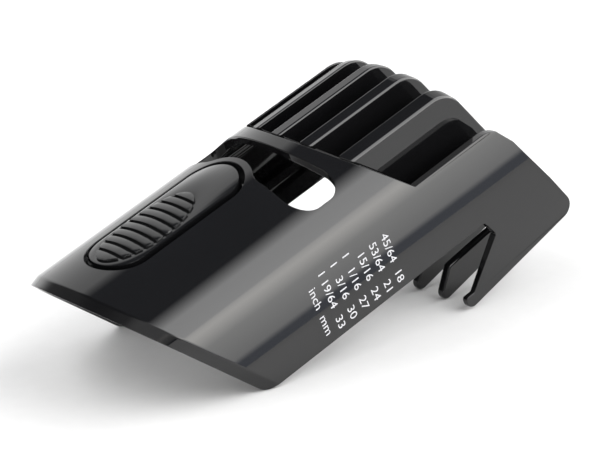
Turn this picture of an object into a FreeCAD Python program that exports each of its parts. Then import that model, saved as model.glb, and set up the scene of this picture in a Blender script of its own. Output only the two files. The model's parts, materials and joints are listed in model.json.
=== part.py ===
"""Adjustable guide comb for a hair clipper: a comb sleeve with a rocking lock button.

Every piece is drawn in the sleeve's own frame, in millimetres: X runs forward along the
sleeve, from its open rear end to the teeth, Y runs to its left and Z is up, with zero on
the crest of the roof. One common placement then tips the comb nose-up until the rear
corners of the side walls and the toes of the teeth stand level.
"""
import FreeCAD, Part
import Sketcher
import math
import os

DIMENSIONS = [
    ("crest_radius", 27.0, "radius of the roof's arch"),
    ("corner_radius", 9.4, "radius between the roof and the side walls"),
    ("corner_turn", 44.3, "where the arch turns into the corner, degrees from the crest"),
    ("wall_height", 30.6, "depth of the walls' lower edges below the crest"),
    ("wall_lean", 5.5, "outward lean of the side walls, degrees"),
    ("wall_thick", 1.8, "thickness of the roof and the walls"),
    ("lead_in", 1.0, "chamfer inside the walls' lower edges"),
    ("foot_radius", 3.5, "round of the walls' rear lower corners"),
    ("rear_crest", 81.3, "distance of the rear edge behind the notch, at the crest"),
    ("rear_lean", 36.1, "lean of the rear edge, degrees from upright"),
    ("rim_crest", 25.1, "distance of the sleeve's front rim behind the notch, at the crest"),
    ("rim_lean", 41.7, "lean of the front rim, degrees from upright"),
    ("window_half", 18.2, "half of the window's length across the sleeve"),
    ("window_rear", 36.6, "rear edge of the window"),
    ("window_split", 31.0, "where the window's two ends are widest"),
    ("window_front", 28.0, "front edge of the window, at the crest"),
    ("window_bow", 46.5, "radius of the window's front edge"),
    ("window_rear_round", 4.6, "radius of the window's rear corners"),
    ("window_front_round", 3.4, "radius of the window's front corners"),
    ("tongue_fillet", 3.5, "radius beside the tongue that carries the button's front end"),
    ("tongue_radius", 9.0, "radius of the tongue and of the well's outer wall"),
    ("well_radius", 7.4, "half width of the well that the button lies in"),
    ("well_front", 42.7, "centre of the well's front end"),
    ("well_rear", 64.4, "centre of the well's rear end"),
    ("well_floor", 5.2, "depth of the well's skirt below the crest"),
    ("button_gap", 1.1, "gap between the button and its well"),
    ("button_thick", 2.6, "thickness of the button's plate"),
    ("pivot_back", 51.0, "distance of the button's pivot behind the notch"),
    ("pivot_depth", 5.0, "depth of the pivot below the crest"),
    ("pin_radius", 0.8, "radius of the pivot pin"),
    ("pin_play", 0.05, "radial clearance of the pin in the button's ears"),
    ("slot_play", 0.3, "gap between the pin and the slots in the well's skirt"),
    ("lug_length", 7.0, "length of a pivot lug along the sleeve"),
    ("lug_thick", 1.6, "thickness of a pivot lug"),
    ("lug_depth", 6.7, "depth of the pivot lugs below the crest"),
    ("ear_inner", 4.4, "inner face of an ear of the button"),
    ("ear_thick", 1.4, "thickness of an ear of the button"),
    ("ear_length", 5.0, "length of an ear along the sleeve"),
    ("ear_taper", 0.8, "how much each end of an ear draws in below the pivot"),
    ("pad_centre", 58.2, "centre of the ribbed thumb pad"),
    ("pad_half_length", 11.6, "half length of the thumb pad"),
    ("pad_half_width", 5.5, "half width of the thumb pad"),
    ("pad_seat", 1.0, "depth of the recess that the thumb pad sits in"),
    ("pad_rise", 0.35, "height of the thumb pad above the button"),
    ("groove_pitch", 2.33, "pitch of the grooves across the thumb pad"),
    ("groove_width", 0.75, "width of a groove"),
    ("groove_depth", 0.55, "depth of a groove"),
    ("groove_bow", 60.0, "radius of the grooves' bow"),
    ("catch_back", 38.6, "front face of the catch behind the notch"),
    ("catch_length", 3.2, "length of the catch along the sleeve"),
    ("catch_width", 4.6, "width of the catch"),
    ("catch_depth", 6.0, "depth of the catch below the crest"),
    ("catch_tip", 1.2, "length of the flat tip of the catch"),
    ("catch_slant", 1.4, "height of the slanted lead-in face behind the tip"),
    ("spring_back", 62.5, "centre of the return spring behind the notch"),
    ("spring_radius", 1.7, "mean radius of the return spring"),
    ("spring_wire", 0.35, "diameter of the spring's wire"),
    ("spring_pitch", 1.0, "pitch of the spring's turns"),
    ("spring_hole", 2.3, "radius of the blind hole above the spring"),
    ("spring_top", 1.4, "depth of the blind hole's end below the crest"),
    ("bridge_length", 7.0, "length of the bridge that carries the spring"),
    ("bridge_thick", 1.2, "thickness of the bridge"),
    ("stop_length", 1.5, "how far the stop reaches under the button's front end"),
    ("stop_gap", 0.1, "gap between the button at rest and the stop"),
    ("stop_thick", 1.2, "thickness of the stop"),
    ("plate_pitch", 7.3, "pitch of the comb plates"),
    ("plate_root", 2.5, "thickness of an inner plate at the crest"),
    ("plate_tip", 1.7, "thickness of an inner plate at its toe"),
    ("side_tip", 1.25, "thickness of a side plate at its toe"),
    ("side_toe_y", 22.75, "outer face of a side plate at its toe"),
    ("face_crest", 3.8, "position of the front face ahead of the notch, at the crest"),
    ("face_lean", 25.2, "lean of the front face, degrees from upright"),
    ("brow_round", 7.0, "round at the upper end of the front face"),
    ("chin_round", 2.6, "round at the lower end of the front face"),
    ("sole_depth", 44.7, "depth of the side plates' long lower edge, at the notch"),
    ("sole_lean", 7.7, "slope of the plates' long lower edge, degrees"),
    ("sole_step", 0.35, "how much lower the inner plates reach than the side plates"),
    ("side_top", 14.4, "depth of a side plate's upper edge below the crest"),
    ("notch_end_x", 1.9, "lower corner of the notch's end, ahead of its upper corner"),
    ("notch_end_z", 34.3, "depth of the notch's lower corner below the crest"),
    ("toe_heel_x", 7.0, "where a side plate's toe begins, behind the notch"),
    ("toe_heel_z", 42.8, "depth of the upper side of a side plate's toe"),
    ("toe_end", 9.35, "end of a side plate's toe, behind the notch"),
    ("toe_round", 1.9, "round under the end of a side plate's toe"),
    ("toe_top_round", 0.7, "round over the end of a side plate's toe"),
    ("finger_depth", 39.2, "depth of an inner plate's upper rear edge, at the notch"),
    ("finger_lean", 3.8, "slope of that edge, degrees"),
    ("heel_back", 5.6, "end of that edge, behind the notch"),
    ("heel_lean", 51.8, "slope of an inner plate's end, degrees"),
    ("heel_round", 1.5, "round of an inner plate's toe"),
    ("rail_depth", 21.5, "depth of the guide rails below the crest"),
    ("rail_height", 2.0, "height of a guide rail"),
    ("rail_width", 1.4, "how far a guide rail stands in from the wall"),
    ("rail_rear_gap", 4.0, "distance of a rail's rear end from the rear edge"),
    ("rail_rim_gap", 1.0, "distance of a rail's front end from the front rim"),
]
GROOVES = 9            # grooves across the thumb pad
REACH = 120.0          # long enough to cut right through the comb, either way
SPARE = 1.0            # how far a block runs past the shape that trims it

doc = FreeCAD.newDocument("adjustable_guide_comb")
sheet = doc.addObject("Spreadsheet::Sheet", "Dims")
for row, (alias, number, meaning) in enumerate(DIMENSIONS, start=1):
    sheet.set("A%d" % row, meaning)
    sheet.set("B%d" % row, str(number))
    sheet.setAlias("B%d" % row, alias)
doc.recompute()


# ---------------------------------------------------------------- dimensions with their expressions
class Dim:
    """A length or an angle: its value now, and the expression that gives it."""

    def __init__(self, value, text):
        self.value = float(value)
        self.text = text

    def __add__(self, other):
        other = dim(other)
        return Dim(self.value + other.value, "(%s + %s)" % (self.text, other.text))

    def __sub__(self, other):
        other = dim(other)
        return Dim(self.value - other.value, "(%s - %s)" % (self.text, other.text))

    def __mul__(self, other):
        other = dim(other)
        return Dim(self.value * other.value, "(%s * %s)" % (self.text, other.text))

    def __truediv__(self, other):
        other = dim(other)
        return Dim(self.value / other.value, "(%s / %s)" % (self.text, other.text))

    def __neg__(self):
        return Dim(-self.value, "(-1 * %s)" % self.text)

    __radd__ = __add__
    __rmul__ = __mul__

    def __rsub__(self, other):
        return dim(other) - self


def dim(quantity):
    """Any number as a Dim."""
    if isinstance(quantity, Dim):
        return quantity
    return Dim(quantity, "(%r)" % float(quantity))


def cell(alias):
    """One dimension of the sheet."""
    return Dim(sheet.get(alias), "Dims.%s" % alias)


def root(square):
    return Dim(math.sqrt(square.value), "sqrt(%s)" % square.text)


def sine(angle):
    return Dim(math.sin(math.radians(angle.value)), "sin(%s)" % angle.text)


def cosine(angle):
    return Dim(math.cos(math.radians(angle.value)), "cos(%s)" % angle.text)


def tangent(angle):
    return sine(angle) / cosine(angle)


# ---------------------------------------------------------------- drawing in sketches
def plane_of(body, role):
    """One of the origin planes of a body."""
    return [item for item in body.Origin.OriginFeatures if item.Role == role][0]


def new_sketch(body, role, name):
    sketch = body.newObject("Sketcher::SketchObject", name)
    sketch.AttachmentSupport = [(plane_of(body, role), "")]
    sketch.MapMode = "FlatFace"
    return sketch


def constrain(sketch, bound, free=()):
    """Add constraints, and give the bound ones their quantities' expressions."""
    made = [Sketcher.Constraint(*words, quantity.value) for words, quantity in bound]
    numbers = sketch.addConstraint(made + list(free))
    for number, (words, quantity) in zip(numbers, bound):
        sketch.setExpression("Constraints[%d]" % number, quantity.text)


def draw_circle(sketch, x, y, radius):
    centre = FreeCAD.Vector(x.value, y.value, 0)
    number = sketch.addGeometry(Part.Circle(centre, FreeCAD.Vector(0, 0, 1), radius.value))
    constrain(sketch, [
        (("DistanceX", number, 3), x),
        (("DistanceY", number, 3), y),
        (("Radius", number), radius),
    ])


def draw_outline(sketch, corners):
    """Draw a closed outline.

    Each corner is (x, y) where a straight line leaves it, or (x, y, radius, side) where an
    arc leaves it that bulges to the left (side 1) or to the right (side -1) of the way.
    """
    shapes = []
    ends = []
    for corner, after in zip(corners, corners[1:] + corners[:1]):
        begin = FreeCAD.Vector(corner[0].value, corner[1].value, 0)
        end = FreeCAD.Vector(after[0].value, after[1].value, 0)
        if len(corner) == 2:
            shapes.append(Part.LineSegment(begin, end))
            ends.append((1, 2))
        else:
            shapes.append(short_arc(begin, end, corner[2].value, corner[3]))
            ends.append((2, 1) if corner[3] > 0 else (1, 2))
    numbers = sketch.addGeometry(shapes)
    bound = []
    joins = []
    for index, corner in enumerate(corners):
        here = numbers[index]
        leaving = ends[index][0]
        joins.append(Sketcher.Constraint("Coincident", here, leaving,
                                         numbers[index - 1], ends[index - 1][1]))
        bound.append((("DistanceX", here, leaving), corner[0]))
        bound.append((("DistanceY", here, leaving), corner[1]))
        if len(corner) == 4:
            bound.append((("Radius", here), corner[2]))
    constrain(sketch, bound, joins)


def short_arc(begin, end, radius, side):
    """The shorter arc between two points, as a sketch keeps it: anticlockwise."""
    chord = end - begin
    left = FreeCAD.Vector(-chord.y, chord.x, 0).normalize()
    centre = (begin + end) / 2 - left * side * math.sqrt(radius ** 2 - chord.Length ** 2 / 4)
    circle = Part.Circle(centre, FreeCAD.Vector(0, 0, 1), radius)
    angles = [math.atan2(point.y - centre.y, point.x - centre.x) for point in (begin, end)]
    if side > 0:
        angles.reverse()
    if angles[1] < angles[0]:
        angles[1] += 2 * math.pi
    return Part.ArcOfCircle(circle, *angles)


def draw_frame(sketch):
    """A large square round the outline, so that a pocket removes all but the outline."""
    far = dim(REACH)
    draw_outline(sketch, [(-far, -far), (far, -far), (far, far), (-far, far)])


# ---------------------------------------------------------------- features of a body
def new_body(label):
    body = doc.addObject("PartDesign::Body", label)
    body.Label = label
    return body


def pad(body, sketch, name, length):
    feature = body.newObject("PartDesign::Pad", name)
    feature.Profile = sketch
    feature.SideType = "Symmetric"
    feature.Length = length.value
    feature.setExpression("Length", length.text)
    sketch.Visibility = False
    return feature


def pocket(body, sketch, name):
    """Cut right through, both ways."""
    feature = body.newObject("PartDesign::Pocket", name)
    feature.Profile = sketch
    feature.SideType = "Symmetric"
    feature.Type = "Length"
    feature.Length = 2 * REACH
    sketch.Visibility = False
    return feature


def keep_inside(body, role, name, corners):
    """Cut away all of the body that lies outside an outline."""
    sketch = new_sketch(body, role, name + "_sketch")
    draw_frame(sketch)
    draw_outline(sketch, corners)
    return pocket(body, sketch, name)


def cut_inside(body, role, name, corners):
    """Cut away all of the body that lies inside an outline."""
    sketch = new_sketch(body, role, name + "_sketch")
    draw_outline(sketch, corners)
    return pocket(body, sketch, name)


def cross_edges(shape, x, z, tolerance=0.3):
    """The edges across the comb whose two ends both lie within the tolerance of (x, z)."""
    names = []
    for number, edge in enumerate(shape.Edges, start=1):
        ends = [vertex.Point for vertex in edge.Vertexes]
        if len(ends) == 2 and all(math.hypot(end.x - x, end.z - z) < tolerance for end in ends):
            names.append("Edge%d" % number)
    return names


def fillet(body, base, names, radius, name):
    feature = body.newObject("PartDesign::Fillet", name)
    feature.Base = (base, names)
    feature.Radius = radius.value
    feature.setExpression("Radius", radius.text)
    return feature


# ---------------------------------------------------------------- shared lines of the sleeve
crest_radius = cell("crest_radius")
corner_radius = cell("corner_radius")
turn = cell("corner_turn")
wall_height = cell("wall_height")
wall_lean = cell("wall_lean")
wall_thick = cell("wall_thick")
window_half = cell("window_half")
zero = dim(0)


def roof_height(y, depth):
    """Height of the arch that lies a depth under the roof's outer face."""
    radius = crest_radius - depth
    return root(radius * radius - y * y) - crest_radius


def corner_start(depth):
    """End of the arch and start of the corner, at a depth under the outer face."""
    radius = crest_radius - depth
    return radius * sine(turn), radius * cosine(turn) - crest_radius


def corner_end(depth):
    """End of the corner and top of the flat wall, at a depth under the outer face."""
    arm = crest_radius - corner_radius
    radius = corner_radius - depth
    y = arm * sine(turn) + radius * cosine(wall_lean)
    z = arm * cosine(turn) - crest_radius + radius * sine(wall_lean)
    return y, z


def wall_line(z, depth):
    """The wall's outer face at a height z, moved in by a depth."""
    top_y, top_z = corner_end(depth)
    return top_y + (top_z - z) * tangent(wall_lean)


def rear_line(z):
    """X of the rear edge at a height z."""
    return -cell("rear_crest") - z * tangent(cell("rear_lean"))


def rim_line(z):
    """X of the front rim at a height z."""
    return -cell("rim_crest") - z * tangent(cell("rim_lean"))


def face_line(z):
    """X of the plates' front face at a height z."""
    return cell("face_crest") - z * tangent(cell("face_lean"))


def sole_line(x):
    """Height of the plates' long lower edge at x."""
    return x * tangent(cell("sole_lean")) - cell("sole_depth")


def chin_point(step):
    """Where the front face meets the long lower edge, lowered by a step."""
    lean = tangent(cell("face_lean"))
    rise = tangent(cell("sole_lean"))
    level = sole_line(zero) - step
    x = (cell("face_crest") - level * lean) / (rise * lean + 1)
    return x, x * rise + level


def rounded(x, z, way_in, way_out, radius):
    """The two corners of a round between two straight edges that turn to the right.

    The edges would meet at (x, z), and run at two angles, in degrees.
    """
    reach = radius * tangent((way_in - way_out) / 2)
    begin = (x - reach * cosine(way_in), z - reach * sine(way_in), radius, 1)
    end = (x + reach * cosine(way_out), z + reach * sine(way_out))
    return [begin, end]


HIGH = dim(6.0)        # a height above everything
LOW = dim(-60.0)       # a height below everything


# ---------------------------------------------------------------- sleeve
def roof_section(body):
    """Cross-section of the roof between the ends of the window."""
    sketch = new_sketch(body, "YZ_Plane", body.Label + "_section")
    outer = roof_height(window_half, zero)
    inner = roof_height(window_half, wall_thick)
    draw_outline(sketch, [
        (-window_half, outer, crest_radius, 1),
        (window_half, outer),
        (window_half, inner, crest_radius - wall_thick, -1),
        (-window_half, inner),
    ])
    return pad(body, sketch, body.Label + "_arch", dim(2 * REACH))


def wall_section(body, side):
    """Cross-section of one side wall, from the window's end to the lower edge."""
    sketch = new_sketch(body, "YZ_Plane", body.Label + "_section")
    thick = wall_thick
    lead_in = cell("lead_in")
    low = -wall_height
    corners = [(window_half, roof_height(window_half, zero), crest_radius, 1)]
    corners.append(corner_start(zero) + (corner_radius, 1))
    corners.append(corner_end(zero))
    corners.append((wall_line(low, zero), low))
    corners.append((wall_line(low, thick - lead_in), low))
    corners.append((wall_line(low + lead_in, thick), low + lead_in))
    corners.append(corner_end(thick) + (corner_radius - thick, -1))
    corners.append(corner_start(thick) + (crest_radius - thick, -1))
    corners.append((window_half, roof_height(window_half, thick)))
    if side < 0:
        corners = mirrored(corners)
    draw_outline(sketch, corners)
    return pad(body, sketch, body.Label + "_wall", dim(2 * REACH))


def mirrored(corners):
    """The same outline on the other side of the second axis."""
    result = []
    for corner in corners:
        if len(corner) == 4:
            result.append((-corner[0], corner[1], corner[2], -corner[3]))
        else:
            result.append((-corner[0], corner[1]))
    return result


def window_outline():
    """The window in plan, with the round tongue in the middle of its rear edge."""
    rear = -cell("window_rear")
    tongue = cell("tongue_radius")
    hub = -cell("well_front")
    blend = cell("tongue_fillet")
    rear_round = cell("window_rear_round")
    front_round = cell("window_front_round")
    bow = cell("window_bow")
    arm = tongue + blend
    along = rear + blend - hub
    across = root(arm * arm - along * along)
    tongue_x = hub + along * tongue / arm
    tongue_y = across * tongue / arm
    bow_centre = bow - cell("window_front")
    bow_arm = bow + front_round
    end_y = window_half - front_round
    end_x = bow_centre - root(bow_arm * bow_arm - end_y * end_y)
    front_x = bow_centre + (end_x - bow_centre) * bow / bow_arm
    front_y = end_y * bow / bow_arm
    return [
        (tongue_x, -tongue_y, tongue, -1),
        (tongue_x, tongue_y, blend, 1),
        (rear, across),
        (rear, window_half - rear_round, rear_round, 1),
        (rear + rear_round, window_half),
        (end_x, window_half, front_round, 1),
        (front_x, front_y, bow, -1),
        (front_x, -front_y, front_round, 1),
        (end_x, -window_half),
        (rear + rear_round, -window_half, rear_round, 1),
        (rear, rear_round - window_half),
        (rear, -across, blend, 1),
    ]


def well_outline(radius):
    """The button's well, or anything that follows it, in plan."""
    front = -cell("well_front")
    rear = -cell("well_rear")
    return [
        (rear, -radius),
        (front, -radius, radius, -1),
        (front + radius, zero, radius, -1),
        (front, radius),
        (rear, radius, radius, -1),
        (rear - radius, zero, radius, -1),
    ]


def behind_rear(body):
    """Cut the slanted rear end."""
    far = dim(-REACH)
    return cut_inside(body, "XZ_Plane", body.Label + "_rear", [
        (far, LOW), (rear_line(LOW), LOW), (rear_line(HIGH), HIGH), (far, HIGH),
    ])


def ahead_of_rim(body):
    """Cut the slanted front rim."""
    far = dim(REACH)
    return cut_inside(body, "XZ_Plane", body.Label + "_rim", [
        (rim_line(LOW), LOW), (far, LOW), (far, HIGH), (rim_line(HIGH), HIGH),
    ])


def make_roof():
    body = new_body("sleeve_roof")
    roof_section(body)
    behind_rear(body)
    split = -cell("window_split")
    far = dim(REACH)
    cut_inside(body, "XY_Plane", "sleeve_roof_front", [
        (split, -far), (far, -far), (far, far), (split, far),
    ])
    cut_inside(body, "XY_Plane", "sleeve_roof_window", window_outline())
    cut_inside(body, "XY_Plane", "sleeve_roof_well", well_outline(cell("well_radius")))
    return body


def make_crossbar():
    body = new_body("crossbar")
    roof_section(body)
    ahead_of_rim(body)
    split = -cell("window_split")
    far = dim(-REACH)
    cut_inside(body, "XY_Plane", "crossbar_rear", [
        (far, far), (split, far), (split, -far), (far, -far),
    ])
    cut_inside(body, "XY_Plane", "crossbar_window", window_outline())
    return body


def make_wall(name, side):
    body = new_body(name)
    wall_section(body, side)
    ahead_of_rim(body)
    last = behind_rear(body)
    doc.recompute()
    foot = cross_edges(last.Shape, rear_line(-wall_height).value, -wall_height.value)
    fillet(body, last, foot, cell("foot_radius"), name + "_foot")
    return body


def make_rail(name, side):
    """A guide rail inside a side wall."""
    body = new_body(name)
    sketch = new_sketch(body, "YZ_Plane", name + "_section")
    high = -cell("rail_depth")
    low = high - cell("rail_height")
    width = cell("rail_width")
    corners = [
        (wall_line(high, wall_thick), high),
        (wall_line(low, wall_thick), low),
        (wall_line(low, wall_thick) - width, low),
        (wall_line(high, wall_thick) - width, high),
    ]
    if side < 0:
        corners = mirrored(corners)
    draw_outline(sketch, corners)
    pad(body, sketch, name + "_bar", dim(2 * REACH))
    rear_gap = cell("rail_rear_gap")
    rim_gap = cell("rail_rim_gap")
    keep_inside(body, "XZ_Plane", name + "_ends", [
        (rear_line(LOW) + rear_gap, LOW),
        (rim_line(LOW) - rim_gap, LOW),
        (rim_line(HIGH) - rim_gap, HIGH),
        (rear_line(HIGH) + rear_gap, HIGH),
    ])
    return body


# ---------------------------------------------------------------- comb plates
FORWARD = dim(0)
DOWN_FACE = cell("face_lean") - 90
BACK_SOLE = cell("sole_lean") - 180
UP = dim(-270)
FORWARD_AGAIN = dim(-360)


def plate_front(top, step):
    """The top, the front face and the chin of a plate."""
    chin_x, chin_z = chin_point(step)
    corners = [(rim_line(top), top)]
    corners += rounded(face_line(top), top, FORWARD, DOWN_FACE, cell("brow_round"))
    corners += rounded(chin_x, chin_z, DOWN_FACE, BACK_SOLE, cell("chin_round"))
    return corners


def inner_toe():
    """Where an inner plate's sole and its slanted end would meet."""
    rise = tangent(cell("sole_lean"))
    end_rise = tangent(cell("heel_lean"))
    heel_x = -cell("heel_back")
    heel_z = heel_x * tangent(cell("finger_lean")) - cell("finger_depth")
    level = sole_line(zero) - cell("sole_step")
    x = (level - heel_z + heel_x * end_rise) / (end_rise - rise)
    return x, x * rise + level


def inner_plate_outline(top):
    """Side view of a plate between the side walls, with its finger to the rear."""
    toe_x, toe_z = inner_toe()
    heel_x = -cell("heel_back")
    finger = tangent(cell("finger_lean"))
    rim = tangent(cell("rim_lean"))
    fork_x = (cell("finger_depth") * rim - cell("rim_crest")) / (finger * rim + 1)
    corners = plate_front(top, cell("sole_step"))
    corners += rounded(toe_x, toe_z, BACK_SOLE, cell("heel_lean") - 360, cell("heel_round"))
    corners.append((heel_x, heel_x * finger - cell("finger_depth")))
    corners.append((fork_x, fork_x * finger - cell("finger_depth")))
    return corners


def side_plate_outline():
    """Side view of a plate that carries a side wall forward."""
    low = -wall_height
    end_x = -cell("toe_end")
    heel_z = -cell("toe_heel_z")
    corners = plate_front(-cell("side_top"), zero)
    corners += rounded(end_x, sole_line(end_x), BACK_SOLE, UP, cell("toe_round"))
    corners += rounded(end_x, heel_z, UP, FORWARD_AGAIN, cell("toe_top_round"))
    corners.append((-cell("toe_heel_x"), heel_z))
    corners.append((cell("notch_end_x"), -cell("notch_end_z")))
    corners.append((zero, low))
    corners.append((rim_line(low), low))
    return corners


def make_inner_plate(name, centre):
    """A comb plate whose upper edge carries the roof's arch forward."""
    body = new_body(name)
    sketch = new_sketch(body, "YZ_Plane", name + "_section")
    wide = cell("plate_root") / 2
    narrow = cell("plate_tip") / 2
    floor = sole_line(inner_toe()[0]) - SPARE
    draw_outline(sketch, [
        (centre - wide, roof_height(centre - wide, zero), crest_radius, 1),
        (centre + wide, roof_height(centre + wide, zero)),
        (centre + narrow, floor),
        (centre - narrow, floor),
    ])
    pad(body, sketch, name + "_slab", dim(2 * REACH))
    top = zero
    if centre.value:
        top = roof_height(root(centre * centre) - wide, zero)
    keep_inside(body, "XZ_Plane", name + "_outline", inner_plate_outline(top))
    return body


def make_side_plate(name, side):
    """The outermost plate: it carries a side wall forward."""
    body = new_body(name)
    sketch = new_sketch(body, "YZ_Plane", name + "_section")
    low = -wall_height
    floor = sole_line(-cell("toe_end")) - SPARE
    outer = cell("side_toe_y")
    thin = cell("side_tip")
    high = corner_end(zero)[1]
    corners = [
        (wall_line(high, zero), high),
        (wall_line(low, zero), low),
        (outer, floor),
        (outer - thin, floor),
        (wall_line(low, thin), low),
        (wall_line(high, wall_thick), high),
    ]
    if side < 0:
        corners = mirrored(corners)
    draw_outline(sketch, corners)
    pad(body, sketch, name + "_slab", dim(2 * REACH))
    keep_inside(body, "XZ_Plane", name + "_outline", side_plate_outline())
    return body


# ---------------------------------------------------------------- button and its mountings
def make_well_skirt():
    """The wall round the button, under the roof."""
    body = new_body("button_well")
    sketch = new_sketch(body, "YZ_Plane", "button_well_section")
    outer = cell("tongue_radius")
    top = roof_height(outer, wall_thick)
    floor = -cell("well_floor")
    draw_outline(sketch, [
        (-outer, top, crest_radius - wall_thick, 1),
        (outer, top),
        (outer, floor),
        (-outer, floor),
    ])
    pad(body, sketch, "button_well_block", dim(2 * REACH))
    keep_inside(body, "XY_Plane", "button_well_outside", well_outline(outer))
    cut_inside(body, "XY_Plane", "button_well_inside", well_outline(cell("well_radius")))
    pivot_x = -cell("pivot_back")
    slot = cell("pin_radius") + cell("slot_play")
    cut_inside(body, "XZ_Plane", "button_well_slots", [
        (pivot_x - slot, LOW),
        (pivot_x + slot, LOW),
        (pivot_x + slot, -cell("pivot_depth") + slot),
        (pivot_x - slot, -cell("pivot_depth") + slot),
    ])
    return body


def make_lug(name, side):
    """A lug that hangs from the roof and holds one end of the pivot pin."""
    body = new_body(name)
    sketch = new_sketch(body, "YZ_Plane", name + "_section")
    inner = cell("tongue_radius")
    outer = inner + cell("lug_thick")
    low = -cell("lug_depth")
    corners = [
        (inner, roof_height(inner, wall_thick), crest_radius - wall_thick, 1),
        (outer, roof_height(outer, wall_thick)),
        (outer, low),
        (inner, low),
    ]
    if side < 0:
        corners = mirrored(corners)
    draw_outline(sketch, corners)
    pad(body, sketch, name + "_block", dim(2 * REACH))
    pivot_x = -cell("pivot_back")
    half = cell("lug_length") / 2
    keep_inside(body, "XZ_Plane", name + "_ends", [
        (pivot_x - half, LOW),
        (pivot_x + half, LOW),
        (pivot_x + half, HIGH),
        (pivot_x - half, HIGH),
    ])
    pivot_hole(body, cell("pin_radius"))
    return body


def pivot_hole(body, radius):
    """A hole along the pivot's axis."""
    sketch = new_sketch(body, "XZ_Plane", body.Label + "_hole_sketch")
    draw_circle(sketch, -cell("pivot_back"), -cell("pivot_depth"), radius)
    return pocket(body, sketch, body.Label + "_hole")


def make_pin():
    """The pivot pin, from the outside of one lug to the outside of the other."""
    length = 2 * (cell("tongue_radius") + cell("lug_thick"))
    body = new_body("pivot_pin")
    sketch = new_sketch(body, "XZ_Plane", "pivot_pin_circle")
    draw_circle(sketch, -cell("pivot_back"), -cell("pivot_depth"), cell("pin_radius"))
    pad(body, sketch, "pivot_pin_rod", length)
    return body


def make_bridge():
    """A bridge across the well that carries the return spring."""
    body = new_body("spring_bridge")
    sketch = new_sketch(body, "XZ_Plane", "spring_bridge_section")
    middle = -cell("spring_back")
    half = cell("bridge_length") / 2
    high = -cell("well_floor")
    low = high - cell("bridge_thick")
    draw_outline(sketch, [
        (middle - half, low),
        (middle + half, low),
        (middle + half, high),
        (middle - half, high),
    ])
    pad(body, sketch, "spring_bridge_bar", 2 * cell("tongue_radius"))
    return body


def make_stop():
    """The ledge under the button's front end, which the spring presses it on."""
    body = new_body("front_stop")
    sketch = new_sketch(body, "YZ_Plane", "front_stop_section")
    radius = cell("well_radius")
    high = cell("button_thick") + cell("stop_gap")
    low = high + cell("stop_thick")
    draw_outline(sketch, [
        (-radius, roof_height(radius, high), crest_radius - high, 1),
        (radius, roof_height(radius, high)),
        (radius, roof_height(radius, low), crest_radius - low, -1),
        (-radius, roof_height(radius, low)),
    ])
    pad(body, sketch, "front_stop_arch", dim(2 * REACH))
    keep_inside(body, "XY_Plane", "front_stop_outline", well_outline(radius))
    ledge = radius - cell("button_gap") - cell("stop_length") - cell("well_front")
    far = dim(REACH)
    cut_inside(body, "XY_Plane", "front_stop_rear", [
        (-far, -far), (ledge, -far), (ledge, far), (-far, far),
    ])
    return body


def make_button():
    """The button's plate: it follows the roof, and has ears for the pin and a spring hole."""
    body = new_body("button_plate")
    sketch = new_sketch(body, "YZ_Plane", "button_plate_section")
    radius = cell("well_radius") - cell("button_gap")
    thick = cell("button_thick")
    draw_outline(sketch, [
        (-radius, roof_height(radius, zero), crest_radius, 1),
        (radius, roof_height(radius, zero)),
        (radius, roof_height(radius, thick), crest_radius - thick, -1),
        (-radius, roof_height(radius, thick)),
    ])
    pad(body, sketch, "button_plate_arch", dim(2 * REACH))
    keep_inside(body, "XY_Plane", "button_plate_outline", well_outline(radius))
    return body


def make_ear(name, side):
    """An ear under the button, round the pivot pin."""
    body = new_body(name)
    sketch = new_sketch(body, "YZ_Plane", name + "_section")
    inner = cell("ear_inner")
    outer = inner + cell("ear_thick")
    thick = cell("button_thick")
    low = -cell("lug_depth")
    corners = [
        (inner, roof_height(inner, thick), crest_radius - thick, 1),
        (outer, roof_height(outer, thick)),
        (outer, low),
        (inner, low),
    ]
    if side < 0:
        corners = mirrored(corners)
    draw_outline(sketch, corners)
    pad(body, sketch, name + "_block", dim(2 * REACH))
    pivot_x = -cell("pivot_back")
    half = cell("ear_length") / 2
    taper = half - cell("ear_taper")
    keep_inside(body, "XZ_Plane", name + "_ends", [
        (pivot_x - taper, low),
        (pivot_x + taper, low),
        (pivot_x + half, -cell("pivot_depth")),
        (pivot_x + half, HIGH),
        (pivot_x - half, HIGH),
        (pivot_x - half, -cell("pivot_depth")),
    ])
    pivot_hole(body, cell("pin_radius") + cell("pin_play"))
    return body


def make_catch():
    """The catch under the button's front end, with a slanted lead-in face."""
    body = new_body("catch_hook")
    sketch = new_sketch(body, "YZ_Plane", "catch_hook_section")
    half = cell("catch_width") / 2
    thick = cell("button_thick")
    low = -cell("catch_depth")
    draw_outline(sketch, [
        (-half, roof_height(half, thick), crest_radius - thick, 1),
        (half, roof_height(half, thick)),
        (half, low),
        (-half, low),
    ])
    pad(body, sketch, "catch_hook_block", dim(2 * REACH))
    front = -cell("catch_back")
    rear = front - cell("catch_length")
    keep_inside(body, "XZ_Plane", "catch_hook_outline", [
        (rear, HIGH),
        (rear, low + cell("catch_slant")),
        (front - cell("catch_tip"), low),
        (front, low),
        (front, HIGH),
    ])
    return body


def placed_ellipse(name, major, minor, low, high):
    """An upright oval block over the thumb pad's centre, from one height to another."""
    ellipse = doc.addObject("Part::Ellipse", name + "_ellipse")
    ellipse.setExpression("MajorRadius", major.text)
    ellipse.setExpression("MinorRadius", minor.text)
    ellipse.setExpression("Placement.Base.x", "-Dims.pad_centre")
    ellipse.setExpression("Placement.Base.z", low.text)
    block = doc.addObject("Part::Extrusion", name)
    block.Base = ellipse
    block.DirMode = "Custom"
    block.Dir = FreeCAD.Vector(0, 0, 1)
    block.Solid = True
    block.setExpression("LengthFwd", (high - low).text)
    return block


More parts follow.
